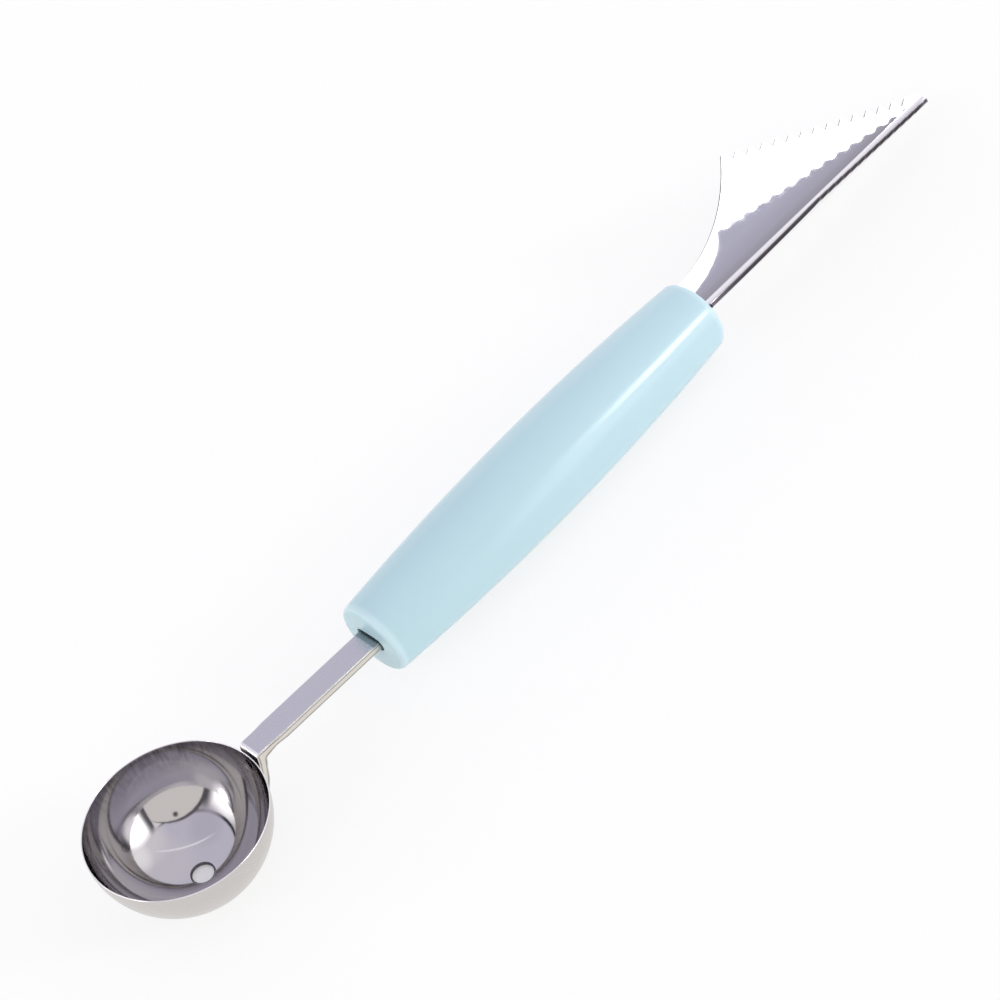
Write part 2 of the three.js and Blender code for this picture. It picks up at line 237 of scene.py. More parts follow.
# Stainless steel, satin finished with a fine abrasive on the lathe: a soft warm grey sheen with faint
# rings that run round the bowl.
bowl_satin, tree, place = start_finish("stainless_steel_satin_spun")
round_bowl = add_node(tree, "ShaderNodeMapping", {
    "Vector": place, "Location": bowl_axis_place, "Rotation": scoop_turn,
    "Scale": in_millimetres}, vector_type="TEXTURE")
height = add_node(tree, "ShaderNodeSeparateXYZ", {"Vector": round_bowl})
satin_line_width = 0.18
satin_line_depth = 0.004
satin_lines = add_node(tree, "ShaderNodeTexNoise", {
    "W": height.outputs["Z"], "Scale": 1 / satin_line_width, "Detail": 3.0}, noise_dimensions="1D")
satin_sheen = add_node(tree, "ShaderNodeMapRange", {
    "Value": satin_lines, "From Min": 0.3, "From Max": 0.7, "To Min": 0.22, "To Max": 0.34})
satin_bump = add_node(tree, "ShaderNodeBump", {
    "Height": satin_lines, "Strength": 1.0, "Distance": satin_line_depth * millimetre})
steel = add_node(tree, "ShaderNodeBsdfPrincipled", {
    "Base Color": linear("#cdc9c6"), "Metallic": 1.0, "Roughness": satin_sheen, "Normal": satin_bump})
add_node(tree, "ShaderNodeOutputMaterial", {"Surface": steel})

# Stainless steel, ground on a fine belt, with short scratches round the cutting rim. Its steel is painted
# paler than the rest as a highlight: a line of light along the rim.
bowl_rim_highlight, tree, place = start_finish("stainless_steel_rim_painted_highlight")
in_bowl = add_node(tree, "ShaderNodeMapping", {
    "Vector": place, "Scale": in_millimetres}, vector_type="TEXTURE")
rim_scratch_width = 0.5
rim_scratches = add_node(tree, "ShaderNodeTexNoise", {
    "Vector": in_bowl, "Scale": 1 / rim_scratch_width, "Detail": 2.0})
rim_gloss = add_node(tree, "ShaderNodeMapRange", {
    "Value": rim_scratches, "From Min": 0.3, "From Max": 0.7, "To Min": 0.14, "To Max": 0.24})
# Painted highlight: the rim's steel is paler than the rest of the bowl.
steel = add_node(tree, "ShaderNodeBsdfPrincipled", {
    "Base Color": linear("#eeecee"), "Metallic": 1.0, "Roughness": rim_gloss})
add_node(tree, "ShaderNodeOutputMaterial", {"Surface": steel})

# Stainless steel, punched: a dull dark wall with fine lines through the sheet, as the punch tears it.
bowl_punched, tree, place = start_finish("stainless_steel_punched")
tear_width = 0.15
tear_stretch = 10
through_wall = add_node(tree, "ShaderNodeMapping", {
    "Vector": place, "Scale": (millimetre, millimetre, tear_stretch * millimetre)}, vector_type="TEXTURE")
tears = add_node(tree, "ShaderNodeTexNoise", {
    "Vector": through_wall, "Scale": 1 / tear_width, "Detail": 2.0})
tear_tone = add_node(tree, "ShaderNodeMixRGB", {
    "Fac": tears, "Color1": linear("#5f5b60"), "Color2": linear("#7d797d")})
steel = add_node(tree, "ShaderNodeBsdfPrincipled", {
    "Base Color": tear_tone, "Metallic": 1.0, "Roughness": 0.35})
add_node(tree, "ShaderNodeOutputMaterial", {"Surface": steel})

add_piece(
    "scoop_bowl_pressed", bowl_mesh, scoop_place, [bowl_mirror, bowl_satin, bowl_rim_highlight, bowl_punched],
    "scoop_bowl")


# Scoop stem: one flat stainless steel bar with softened edges, bent sharply down at its end.
# The short curved foot below the bend is spot welded to the outside of the bowl.
# Its other end is a tang inside the handle, gripped by the plastic moulded round it.
stem_width = 5.0
stem_thickness = 1.8
stem_edge_radius = 0.3
stem_tang_end = 18.8
bend_outer_radius = 0.85
bend_inner_radius = 0.4
foot_radius = 16.45
foot_length = 9.0
swell_reach = 4.5
swell_inside = 0.06
swell_change = 0.2
torn_width = 0.25
stem_edge_steps = 5
bend_steps = 12
foot_steps = 24
crook_steps = 8
swell_steps = 4

stem_mesh = bmesh.new()
stem_top = stem_thickness / 2
bend_z = stem_top - bend_outer_radius
bend_drop = bend_z - bowl_centre.z
bend_from_bowl = foot_radius + bend_outer_radius
bend_x = bowl_centre.x + math.sqrt(bend_from_bowl ** 2 - bend_drop ** 2)
bend_turn = math.pi / 2 + math.asin(bend_drop / bend_from_bowl)
foot_turn = foot_length / foot_radius
foot_low = math.asin(bend_drop / bend_from_bowl) - foot_turn
foot_back_radius = foot_radius + stem_thickness
crook_z = -stem_top - bend_inner_radius
crook_drop = crook_z - bowl_centre.z
crook_from_bowl = foot_back_radius + bend_inner_radius
crook_x = bowl_centre.x + math.sqrt(crook_from_bowl ** 2 - crook_drop ** 2)
crook_turn = math.asin(crook_drop / crook_from_bowl)
tang_corner = stem_mesh.verts.new((stem_tang_end, 0, stem_top))
pen = tang_corner
for step in range(swell_steps, -1, -1):
    pen = line_to(stem_mesh, pen, (bend_x + swell_reach * step / swell_steps, 0, stem_top))
pen = arc_about(stem_mesh, pen, (bend_x, 0, bend_z), (0, -1, 0), bend_turn, bend_steps)
pen = arc_about(stem_mesh, pen, bowl_centre, (0, 1, 0), foot_turn, foot_steps)
pen = line_to(
    stem_mesh, pen,
    bowl_centre + Vector((math.cos(foot_low), 0, math.sin(foot_low))) * foot_back_radius)
pen = arc_about(stem_mesh, pen, bowl_centre, (0, -1, 0), crook_turn - foot_low, foot_steps)
pen = arc_about(stem_mesh, pen, (crook_x, 0, crook_z), (0, 1, 0), math.pi / 2 + crook_turn, crook_steps)
for step in range(1, swell_steps + 1):
    pen = line_to(stem_mesh, pen, (crook_x + swell_reach * step / swell_steps, 0, -stem_top))
pen = line_to(stem_mesh, pen, (stem_tang_end, 0, -stem_top))
stem_mesh.edges.new((pen, tang_corner))
bmesh.ops.edgeloop_fill(stem_mesh, edges=stem_mesh.edges[:])
bmesh.ops.translate(stem_mesh, vec=(0, -stem_width / 2, 0), verts=stem_mesh.verts)
far_side = bmesh.ops.extrude_face_region(stem_mesh, geom=stem_mesh.faces[:])["geom"]
bmesh.ops.translate(stem_mesh, vec=(0, stem_width, 0), verts=pick(far_side, bmesh.types.BMVert))
bmesh.ops.recalc_face_normals(stem_mesh, faces=stem_mesh.faces)
flat_side, narrow_side, torn_line, bend_line, crevice = range(5)
for face in stem_mesh.faces:
    face.material_index = narrow_side if abs(face.normal.y) > 0.5 else flat_side
side_edges = [
    edge for edge in stem_mesh.edges
    if {face.material_index for face in edge.link_faces} == {flat_side, narrow_side}]
bmesh.ops.bevel(
    stem_mesh, geom=side_edges, offset=stem_edge_radius, affect="EDGES", segments=stem_edge_steps,
    profile=0.5, material=-1)
straight_out = 0.999
sides = [face for face in stem_mesh.faces if abs(face.normal.y) > straight_out]
for face in bmesh.ops.inset_region(stem_mesh, faces=sides, thickness=torn_width)["faces"]:
    face.material_index = torn_line
# Faces that lean towards the bowl are the bend where they still look up, which gets a painted highlight,
# and the crevice below it, which gets painted shade.
bend_lean = 0.15
bend_rise = 0.25
for face in stem_mesh.faces:
    middle = face.calc_center_median()
    if face.material_index == flat_side and middle.x < crook_x and face.normal.x < -bend_lean:
        face.material_index = bend_line if face.normal.z > bend_rise else crevice
crook = Vector((crook_x, 0, crook_z))
for corner in stem_mesh.verts:
    reach = (corner.co * Vector((1, 0, 1)) - crook).length
    if reach < swell_reach:
        towards_outside = min((reach - bend_inner_radius) / stem_thickness, 1)
        corner.co.y *= 1 + (1 - (reach / swell_reach) ** 2) * (swell_inside - swell_change * towards_outside)

# Stainless steel, ground along its length on a belt: long fine lines and a soft lavender grey sheen
# that blurs what it mirrors. The last of the bar before the handle is painted a darker teal grey as shade.
stem_belt, tree, place = start_finish("stainless_steel_belt_ground")
belt_line_width = 0.14
belt_line_depth = 0.003
belt_line_stretch = 30
along_stem = add_node(tree, "ShaderNodeMapping", {
    "Vector": place, "Rotation": scoop_turn,
    "Scale": (belt_line_stretch * millimetre, millimetre, millimetre)}, vector_type="TEXTURE")
belt_lines = add_node(tree, "ShaderNodeTexNoise", {
    "Vector": along_stem, "Scale": 1 / belt_line_width, "Detail": 3.0})
belt_sheen = add_node(tree, "ShaderNodeMapRange", {
    "Value": belt_lines, "From Min": 0.3, "From Max": 0.7, "To Min": 0.24, "To Max": 0.34})
belt_bump = add_node(tree, "ShaderNodeBump", {
    "Height": belt_lines, "Strength": 1.0, "Distance": belt_line_depth * millimetre})
stem_place = (millimetres @ scoop_place).translation
on_stem = add_node(tree, "ShaderNodeMapping", {
    "Vector": place, "Location": stem_place, "Rotation": scoop_turn,
    "Scale": in_millimetres}, vector_type="TEXTURE")
stem_run = add_node(tree, "ShaderNodeSeparateXYZ", {"Vector": on_stem})
# Painted shade: the bar turns a darker teal grey just before it enters the handle.
slot_shade_start = -8.55
slot_shade_fade = 0.15
slot_shade = add_node(tree, "ShaderNodeMapRange", {
    "Value": stem_run.outputs["X"], "From Min": slot_shade_start - slot_shade_fade, "From Max": slot_shade_start + slot_shade_fade})
belt_tone_and_slot_shade = add_node(tree, "ShaderNodeMixRGB", {
    "Fac": slot_shade, "Color1": linear("#cbcad0"), "Color2": linear("#949b9e")})
steel = add_node(tree, "ShaderNodeBsdfPrincipled", {
    "Base Color": belt_tone_and_slot_shade, "Metallic": 1.0, "Roughness": belt_sheen, "Normal": belt_bump})
add_node(tree, "ShaderNodeOutputMaterial", {"Surface": steel})

# Stainless steel, as rolled and tumbled on the narrow sides of the bar: a duller grey with shallow pits,
# painted paler and warmer than the top as a reflection.
stem_side, tree, place = start_finish("stainless_steel_rolled_tumbled")
in_stem = add_node(tree, "ShaderNodeMapping", {
    "Vector": place, "Scale": in_millimetres}, vector_type="TEXTURE")
pit_width = 0.25
pit_depth = 0.005
pits = add_node(tree, "ShaderNodeTexNoise", {"Vector": in_stem, "Scale": 1 / pit_width, "Detail": 2.0})
# Painted reflection: the narrow sides get a paler, warmer grey than the top.
side_tone_and_reflection = add_node(tree, "ShaderNodeMixRGB", {
    "Fac": pits, "Color1": linear("#d5d0c8"), "Color2": linear("#e6e2db")})
pit_bump = add_node(tree, "ShaderNodeBump", {
    "Height": pits, "Strength": 1.0, "Distance": pit_depth * millimetre})
steel = add_node(tree, "ShaderNodeBsdfPrincipled", {
    "Base Color": side_tone_and_reflection, "Metallic": 1.0, "Roughness": 0.28, "Normal": pit_bump})
add_node(tree, "ShaderNodeOutputMaterial", {"Surface": steel})

# Stainless steel, torn off in the last of the cut: a dull line along both edges of each narrow side.
stem_torn, tree, place = start_finish("stainless_steel_torn_in_shear")
in_stem = add_node(tree, "ShaderNodeMapping", {
    "Vector": place, "Scale": in_millimetres}, vector_type="TEXTURE")
stem_tear_width = 0.4
stem_tears = add_node(tree, "ShaderNodeTexNoise", {
    "Vector": in_stem, "Scale": 1 / stem_tear_width, "Detail": 2.0})
torn_tone = add_node(tree, "ShaderNodeMixRGB", {
    "Fac": stem_tears, "Color1": linear("#8f8a82"), "Color2": linear("#b9b4ad")})
steel = add_node(tree, "ShaderNodeBsdfPrincipled", {
    "Base Color": torn_tone, "Metallic": 1.0, "Roughness": 0.38})
add_node(tree, "ShaderNodeOutputMaterial", {"Surface": steel})

# Stainless steel, burnished by the press tool on the outside of the bend, with faint drag marks round it.
# Its near-white colour is a painted highlight: a white line of light along the bend.
stem_bend_highlight, tree, place = start_finish("stainless_steel_bend_painted_highlight")
drag_width = 0.2
drag_stretch = 10
round_bend = add_node(tree, "ShaderNodeMapping", {
    "Vector": place,
    "Scale": (drag_stretch * millimetre, millimetre, drag_stretch * millimetre)}, vector_type="TEXTURE")
drag_marks = add_node(tree, "ShaderNodeTexNoise", {
    "Vector": round_bend, "Scale": 1 / drag_width, "Detail": 2.0})
drag_sheen = add_node(tree, "ShaderNodeMapRange", {
    "Value": drag_marks, "From Min": 0.3, "From Max": 0.7, "To Min": 0.24, "To Max": 0.34})
# Painted highlight: near-white steel on the top of the bend.
steel = add_node(tree, "ShaderNodeBsdfPrincipled", {
    "Base Color": linear("#fbfafb"), "Metallic": 1.0, "Roughness": drag_sheen})
add_node(tree, "ShaderNodeOutputMaterial", {"Surface": steel})

# Stainless steel where the foot faces the bowl, painted near black as shade: the dark crevice between them.
stem_crevice_shade, tree, place = start_finish("stainless_steel_crevice_painted_shade")
in_stem = add_node(tree, "ShaderNodeMapping", {
    "Vector": place, "Scale": in_millimetres}, vector_type="TEXTURE")
shade_cloud_size = 1.4
shade_clouds = add_node(tree, "ShaderNodeTexNoise", {
    "Vector": in_stem, "Scale": 1 / shade_cloud_size, "Detail": 3.0})
# Painted shade: cloudy near-black colour in the crevice.
crevice_shade_tone = add_node(tree, "ShaderNodeMixRGB", {
    "Fac": shade_clouds, "Color1": linear("#1d1a1b"), "Color2": linear("#3a3436")})
steel = add_node(tree, "ShaderNodeBsdfPrincipled", {
    "Base Color": crevice_shade_tone, "Metallic": 1.0, "Roughness": 0.55})
add_node(tree, "ShaderNodeOutputMaterial", {"Surface": steel})

add_piece(
    "scoop_stem_bent", stem_mesh, scoop_place,
    [stem_belt, stem_side, stem_torn, stem_bend_highlight, stem_crevice_shade], "scoop_stem")


# Carving blade: one stainless steel sheet, stamped flat with teeth along both long edges, ground thin
# there from one side, and then folded along its middle to a V. Its tang is moulded into the handle.
blade_root = Vector((43.0, 0, -1.2))
blade_pitch = math.radians(2.26)
blade_place = tool_at_rest @ Matrix.Translation(blade_root) @ Matrix.Rotation(blade_pitch, 4, "Y")
blade_thickness = 0.8
fold_half = math.radians(37.2)
fold_radius = 0.9
fold_turn = math.pi / 2 - fold_half
fold_arc = fold_radius * fold_turn
# The round fold is this much shorter on each side than a sharp one, from which the widths are measured.
fold_saving = fold_radius / math.tan(fold_half) - fold_arc
tang_length = 26.0
tang_width = 5.2 - fold_saving
neck_start = 0.3
neck_width = 6.75 - fold_saving
heel = Vector((24.1, 18.8 - fold_saving, 0))
nose_radius = 2.5
nose = Vector((66.8 - nose_radius, nose_radius - fold_saving, 0))
tooth_pitch = 3.0
tooth_count = 14
heel_land = 0.75
gullet_half_mouth = 1.3
gullet_radius = 0.6
gullet_centre_depth = 0.7
ground_width = 2.4
ground_thickness = 0.68
burnished_depth = 0.16
torn_slope = math.radians(15)
neck_steps = 32
gullet_steps = 8
nose_steps = 16
fold_steps = 8
cut_tolerance = 0.0001

blade_mesh = bmesh.new()
tang_corner = blade_mesh.verts.new((-tang_length, 0, 0))
pen = line_to(blade_mesh, tang_corner, (-tang_length, tang_width, 0))
pen = line_to(blade_mesh, pen, (neck_start, tang_width, 0))
pen = line_to(blade_mesh, pen, (neck_start, neck_width, 0))
neck_run = heel.x - neck_start
neck_rise = heel.y - neck_width
neck_radius = (neck_run ** 2 + neck_rise ** 2) / (2 * neck_rise)
pen = arc_about(
    blade_mesh, pen, (neck_start, neck_width + neck_radius, 0), (0, 0, 1),
    math.asin(neck_run / neck_radius), neck_steps)
along_edge = (nose - heel).normalized()
off_edge = Vector((-along_edge.y, along_edge.x, 0))
gullet_reach = math.hypot(gullet_half_mouth, gullet_centre_depth)
gullet_lean = math.atan2(gullet_centre_depth, gullet_half_mouth) + math.asin(gullet_radius / gullet_reach)
for tooth in range(tooth_count):
    gullet = heel + along_edge * (heel_land + gullet_half_mouth + tooth * tooth_pitch)
    bottom = gullet - off_edge * gullet_centre_depth
    flank_foot = (
        bottom - along_edge * gullet_radius * math.sin(gullet_lean)
        - off_edge * gullet_radius * math.cos(gullet_lean))
    pen = line_to(blade_mesh, pen, gullet - along_edge * gullet_half_mouth)
    pen = line_to(blade_mesh, pen, flank_foot)
    pen = arc_about(blade_mesh, pen, bottom, (0, 0, 1), 2 * gullet_lean, gullet_steps)
    pen = line_to(blade_mesh, pen, gullet + along_edge * gullet_half_mouth)
pen = line_to(blade_mesh, pen, nose)
pen = arc_about(
    blade_mesh, pen, (nose.x, -fold_saving, 0), (0, 0, -1), math.acos(fold_saving / nose_radius),
    nose_steps)
pen.co.y = 0
blade_mesh.edges.new((pen, tang_corner))
bmesh.ops.edgeloop_fill(blade_mesh, edges=blade_mesh.edges[:])
bmesh.ops.bisect_plane(
    blade_mesh, geom=blade_mesh.verts[:] + blade_mesh.edges[:] + blade_mesh.faces[:],
    plane_co=heel - off_edge * ground_width, plane_no=off_edge, dist=cut_tolerance)
for step in range(1, fold_steps + 1):
    bmesh.ops.bisect_plane(
        blade_mesh, geom=blade_mesh.verts[:] + blade_mesh.edges[:] + blade_mesh.faces[:],
        plane_co=(0, fold_arc * step / fold_steps, 0), plane_no=(0, 1, 0), dist=cut_tolerance)
bmesh.ops.mirror(
    blade_mesh, geom=blade_mesh.verts[:] + blade_mesh.edges[:] + blade_mesh.faces[:], axis="Y",
    merge_dist=merge_distance)
bmesh.ops.remove_doubles(blade_mesh, verts=blade_mesh.verts, dist=merge_distance)
bmesh.ops.recalc_face_normals(blade_mesh, faces=blade_mesh.faces)
bmesh.ops.reverse_faces(blade_mesh, faces=[face for face in blade_mesh.faces if face.normal.z > 0])
burnished = bmesh.ops.extrude_face_region(blade_mesh, geom=blade_mesh.faces[:], use_keep_orig=True)["geom"]
bmesh.ops.translate(blade_mesh, vec=(0, 0, -burnished_depth), verts=pick(burnished, bmesh.types.BMVert))
torn_depth = blade_thickness - burnished_depth
outer_skin = pick(burnished, bmesh.types.BMFace)
bmesh.ops.inset_region(
    blade_mesh, faces=outer_skin, thickness=torn_depth * math.tan(torn_slope), use_even_offset=True)
bmesh.ops.translate(
    blade_mesh, vec=(0, 0, -torn_depth), verts=list({corner for face in outer_skin for corner in face.verts}))
bmesh.ops.recalc_face_normals(blade_mesh, faces=blade_mesh.faces)
wing, ground_edge, cut_start, fold, cut_rest = range(5)
for face in blade_mesh.faces:
    middle = face.calc_center_median()
    beside = Vector((middle.x, abs(middle.y), 0)) - heel
    ground = middle.z < -blade_thickness / 2 and beside.dot(off_edge) > -ground_width
    if abs(face.normal.z) < 0.5:
        face.material_index = cut_start if middle.z > -burnished_depth else cut_rest
    elif abs(middle.y) < fold_arc:
        face.material_index = fold
    else:
        face.material_index = ground_edge if ground else wing
for corner in blade_mesh.verts:
    inside_edge = (heel - Vector((corner.co.x, abs(corner.co.y), 0))).dot(off_edge)
    if corner.co.z < -burnished_depth and inside_edge < ground_width and abs(corner.co.y) > fold_arc:
        ground_share = 1 - inside_edge / ground_width
        corner.co.z += (blade_thickness - ground_thickness) * ground_share
for corner in blade_mesh.verts:
    side = math.copysign(1, corner.co.y)
    turn = min(abs(corner.co.y), fold_arc) / fold_radius
    run = max(abs(corner.co.y) - fold_arc, 0)
    reach = fold_radius - corner.co.z
    corner.co.y = side * (reach * math.sin(turn) + run * math.cos(turn))
    corner.co.z = fold_radius / math.sin(fold_half) - reach * math.cos(turn) + run * math.sin(turn)

blade_turn = blade_place.to_3x3().to_euler()

# Stainless steel sheet, bright rolled and buffed: a clear mirror with very faint lines along the blade,
# so each wing shows the other one in it. Towards the fold it is painted a little darker as shade.
blade_mirror, tree, place = start_finish("stainless_steel_bright_rolled")
rolled_line_width = 0.35
rolled_line_depth = 0.0006
rolled_line_stretch = 30
along_blade = add_node(tree, "ShaderNodeMapping", {
    "Vector": place, "Rotation": blade_turn,
    "Scale": (rolled_line_stretch * millimetre, millimetre, millimetre)}, vector_type="TEXTURE")
rolled_lines = add_node(tree, "ShaderNodeTexNoise", {
    "Vector": along_blade, "Scale": 1 / rolled_line_width, "Detail": 2.0})
rolled_sheen = add_node(tree, "ShaderNodeMapRange", {
    "Value": rolled_lines, "From Min": 0.3, "From Max": 0.7, "To Min": 0.04, "To Max": 0.08})
rolled_bump = add_node(tree, "ShaderNodeBump", {
    "Height": rolled_lines, "Strength": 1.0, "Distance": rolled_line_depth * millimetre})
fold_line_place = (millimetres @ blade_place).translation
above_fold = add_node(tree, "ShaderNodeMapping", {
    "Vector": place, "Location": fold_line_place, "Rotation": blade_turn,
    "Scale": in_millimetres}, vector_type="TEXTURE")
fold_height = add_node(tree, "ShaderNodeSeparateXYZ", {"Vector": above_fold})
# Painted shade: the wings turn darker towards the fold.
fold_shade_height = 4.5
fold_shade_fade = add_node(tree, "ShaderNodeMapRange", {
    "Value": fold_height.outputs["Z"], "From Min": 0.0, "From Max": fold_shade_height})
rolled_tone_and_fold_shade = add_node(tree, "ShaderNodeMixRGB", {
    "Fac": fold_shade_fade, "Color1": linear("#c4c1c4"), "Color2": linear("#dadae1")})
steel = add_node(tree, "ShaderNodeBsdfPrincipled", {
    "Base Color": rolled_tone_and_fold_shade, "Metallic": 1.0, "Roughness": rolled_sheen, "Normal": rolled_bump})
add_node(tree, "ShaderNodeOutputMaterial", {"Surface": steel})

# Stainless steel, ground across the edge on a wheel: short parallel scratches that catch the light.
# The scratches are drawn about twice as wide as real ones, so that they show.
blade_ground, tree, place = start_finish("stainless_steel_wheel_ground")
scratch_width = 0.16
scratch_depth = 0.005
scratch_stretch = 20
across_edge = add_node(tree, "ShaderNodeMapping", {
    "Vector": place, "Rotation": blade_turn,
    "Scale": (millimetre, scratch_stretch * millimetre, scratch_stretch * millimetre)}, vector_type="TEXTURE")
scratches = add_node(tree, "ShaderNodeTexNoise", {
    "Vector": across_edge, "Scale": 1 / scratch_width, "Detail": 3.0})
scratch_sheen = add_node(tree, "ShaderNodeMapRange", {
    "Value": scratches, "From Min": 0.3, "From Max": 0.7, "To Min": 0.16, "To Max": 0.32})
scratch_bump = add_node(tree, "ShaderNodeBump", {
    "Height": scratches, "Strength": 1.0, "Distance": scratch_depth * millimetre})
steel = add_node(tree, "ShaderNodeBsdfPrincipled", {
    "Base Color": linear("#d2d1d4"), "Metallic": 1.0, "Roughness": scratch_sheen, "Normal": scratch_bump})
add_node(tree, "ShaderNodeOutputMaterial", {"Surface": steel})

# Stainless steel, burnished by the punch: the first fifth of every cut wall is pressed smooth and pale,
# with faint lines through the sheet.
blade_burnished, tree, place = start_finish("stainless_steel_burnished_in_shear")
shear_width = 0.2
shear_stretch = 4
through_sheet = add_node(tree, "ShaderNodeMapping", {
    "Vector": place, "Rotation": blade_turn,
    "Scale": (millimetre, shear_stretch * millimetre, shear_stretch * millimetre)}, vector_type="TEXTURE")
shear_lines = add_node(tree, "ShaderNodeTexNoise", {
    "Vector": through_sheet, "Scale": 1 / shear_width, "Detail": 2.0})
shear_tone = add_node(tree, "ShaderNodeMixRGB", {
    "Fac": shear_lines, "Color1": linear("#bab8be"), "Color2": linear("#cac8ce")})
steel = add_node(tree, "ShaderNodeBsdfPrincipled", {
    "Base Color": shear_tone, "Metallic": 1.0, "Roughness": 0.24})
add_node(tree, "ShaderNodeOutputMaterial", {"Surface": steel})

# Stainless steel, torn off in the rest of the cut: a rough wall, painted dark grey as shade.
# Its grain is drawn about twice as wide as real grain, so that it shows.
blade_torn, tree, place = start_finish("stainless_steel_torn_edge")
in_tear = add_node(tree, "ShaderNodeMapping", {
    "Vector": place, "Scale": in_millimetres}, vector_type="TEXTURE")
grain_width = 0.2
grain_depth = 0.01
grain = add_node(tree, "ShaderNodeTexNoise", {"Vector": in_tear, "Scale": 1 / grain_width, "Detail": 2.0})
# Painted shade: the torn wall is given a very dark grey.
torn_grain_and_shade = add_node(tree, "ShaderNodeMixRGB", {
    "Fac": grain, "Color1": linear("#454048"), "Color2": linear("#5d5860")})
grain_bump = add_node(tree, "ShaderNodeBump", {
    "Height": grain, "Strength": 1.0, "Distance": grain_depth * millimetre})
steel = add_node(tree, "ShaderNodeBsdfPrincipled", {
    "Base Color": torn_grain_and_shade, "Metallic": 1.0, "Roughness": 0.42, "Normal": grain_bump})
add_node(tree, "ShaderNodeOutputMaterial", {"Surface": steel})

# Stainless steel, stretched in the press where it is folded: the polish turns to satin there, with a
# shallow orange peel. Its near-white colour is a painted highlight along the fold.
blade_fold_highlight, tree, place = start_finish("stainless_steel_fold_painted_highlight")
mark_width = 0.25
mark_depth = 0.004
mark_stretch = 4
in_fold = add_node(tree, "ShaderNodeMapping", {
    "Vector": place, "Rotation": blade_turn,
    "Scale": (mark_stretch * millimetre, millimetre, millimetre)}, vector_type="TEXTURE")
stretch_marks = add_node(tree, "ShaderNodeTexNoise", {
    "Vector": in_fold, "Scale": 1 / mark_width, "Detail": 2.0})
stretch_sheen = add_node(tree, "ShaderNodeMapRange", {
    "Value": stretch_marks, "From Min": 0.3, "From Max": 0.7, "To Min": 0.2, "To Max": 0.28})
stretch_bump = add_node(tree, "ShaderNodeBump", {
    "Height": stretch_marks, "Strength": 1.0, "Distance": mark_depth * millimetre})
# Painted highlight: near-white steel in the fold.
steel = add_node(tree, "ShaderNodeBsdfPrincipled", {
    "Base Color": linear("#faf9fb"), "Metallic": 1.0, "Roughness": stretch_sheen, "Normal": stretch_bump})
add_node(tree, "ShaderNodeOutputMaterial", {"Surface": steel})

blade = add_piece(
    "carving_blade_folded", blade_mesh, blade_place,
    [blade_mirror, blade_ground, blade_burnished, blade_fold_highlight, blade_torn], "carving_blade")
flat_wings = blade.modifiers.new("flat_wings", "WEIGHTED_NORMAL")
flat_wings.keep_sharp = True


# Handle: one barrel of pale aqua plastic, injection moulded round both tangs in a single shot.
# Its ends are flat with rounded edges, and a narrow slot in each of them lets the steel in.
handle_half = blade_root.x
handle_belly_radius = 8.85
handle_end_radius = 7.1
handle_edge_radius = 1.2
slot_gap = 0.3
end_land = 0.94
stem_slot_gap = 0.65
slot_corner_radius = 1.35
handle_edge_steps = 10
barrel_steps = 60
handle_round_steps = 160
slot_corner_steps = 6
slot_fold_steps = 12
end_tolerance = 0.001

handle_mesh = bmesh.new()
belly_swell = handle_belly_radius - handle_end_radius
barrel_radius = (handle_half ** 2 + belly_swell ** 2) / (2 * belly_swell)
barrel_centre = handle_belly_radius - barrel_radius
edge_x = handle_half - handle_edge_radius
edge_z = barrel_centre + math.sqrt((barrel_radius - handle_edge_radius) ** 2 - edge_x ** 2)
edge_turn = math.atan2(edge_z - barrel_centre, edge_x)
along_barrel = (0, 1, 0)
pen = handle_mesh.verts.new((-handle_half, 0, edge_z))
pen = arc_about(handle_mesh, pen, (-edge_x, 0, edge_z), along_barrel, edge_turn, handle_edge_steps)
pen = arc_about(handle_mesh, pen, (0, 0, barrel_centre), along_barrel, math.pi - 2 * edge_turn, barrel_steps)
pen = arc_about(handle_mesh, pen, (edge_x, 0, edge_z), along_barrel, edge_turn, handle_edge_steps)
bmesh.ops.spin(
    handle_mesh, geom=handle_mesh.verts[:] + handle_mesh.edges[:], cent=(0, 0, 0), axis=(1, 0, 0),
    angle=math.tau, steps=handle_round_steps, use_merge=True)
bmesh.ops.remove_doubles(handle_mesh, verts=handle_mesh.verts, dist=merge_distance)


def close_end(mesh, end_x, slot_edges, slot_run):
    """Closes an end of the barrel with a flat face, and sinks a slot into it."""
    mouth = [
        edge for edge in mesh.edges
        if edge.is_boundary and abs(edge.verts[0].co.x - end_x) < end_tolerance]
    land = bmesh.ops.extrude_edge_only(mesh, edges=mouth)["geom"]
    bmesh.ops.scale(mesh, vec=(1, end_land, end_land), verts=pick(land, bmesh.types.BMVert))
    bmesh.ops.triangle_fill(mesh, edges=pick(land, bmesh.types.BMEdge) + slot_edges, use_beauty=True)
    sunk = bmesh.ops.extrude_edge_only(mesh, edges=slot_edges)["geom"]
    bmesh.ops.translate(mesh, vec=slot_run, verts=pick(sunk, bmesh.types.BMVert))
    bmesh.ops.edgeloop_fill(mesh, edges=pick(sunk, bmesh.types.BMEdge))


